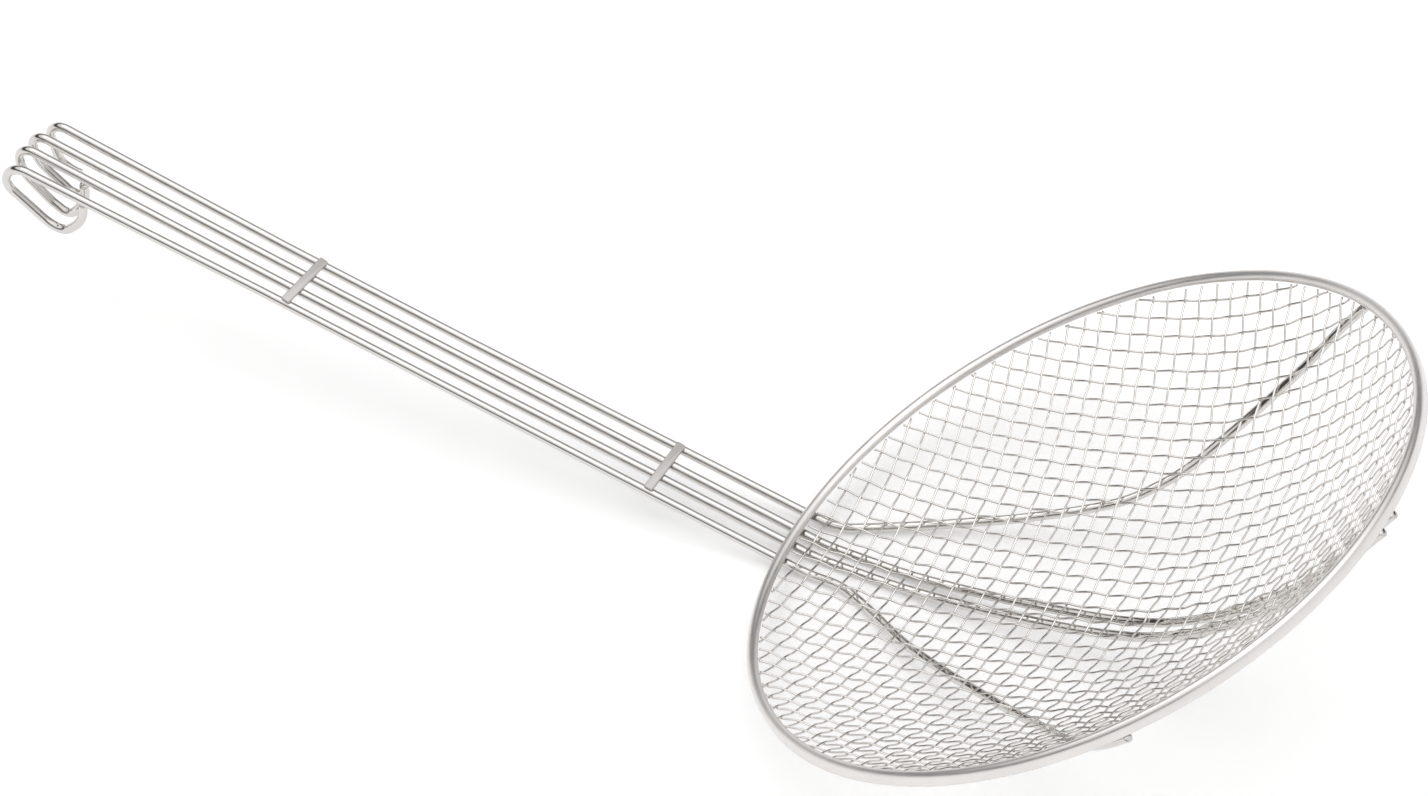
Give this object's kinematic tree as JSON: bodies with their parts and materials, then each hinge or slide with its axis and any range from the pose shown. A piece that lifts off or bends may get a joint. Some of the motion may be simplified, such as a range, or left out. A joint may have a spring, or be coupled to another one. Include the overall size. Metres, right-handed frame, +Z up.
{
  "type": "spider skimmer",
  "caption": "Woven-wire bowl skimmer with a folded sheet rim, carried by parallel round wires that form the handle, the ribs and the hanging hooks.",
  "frame": {"origin": "centre of the footprint of the whole skimmer as it lies on a table, on the table", "axes": "+X from the hanging hooks to the bowl along the handle, +Y across it to the side of the far outer rod, +Z up, out of the table"},
  "size_m": [0.5264, 0.254, 0.1266],
  "materials": {
    "rim_sheet": "satin folded sheet",
    "rod_wire": "bright drawn wire",
    "bar_strip": "satin strip",
    "mesh_wire": "bright fine wire"
  },
  "bodies": {
    "root": {"rim_band": "rim_sheet", "rim_hoop": "rod_wire", "far_outer_rod": "rod_wire", "far_inner_rod": "rod_wire", "near_inner_rod": "rod_wire", "near_outer_rod": "rod_wire", "front_cross_bar": "bar_strip", "rear_cross_bar": "bar_strip", "mesh_lengthwise_near": "mesh_wire", "mesh_lengthwise_middle": "mesh_wire", "mesh_lengthwise_far": "mesh_wire", "mesh_crosswise_back": "mesh_wire", "mesh_crosswise_middle": "mesh_wire", "mesh_crosswise_front": "mesh_wire"}
  },
  "joints": []
}
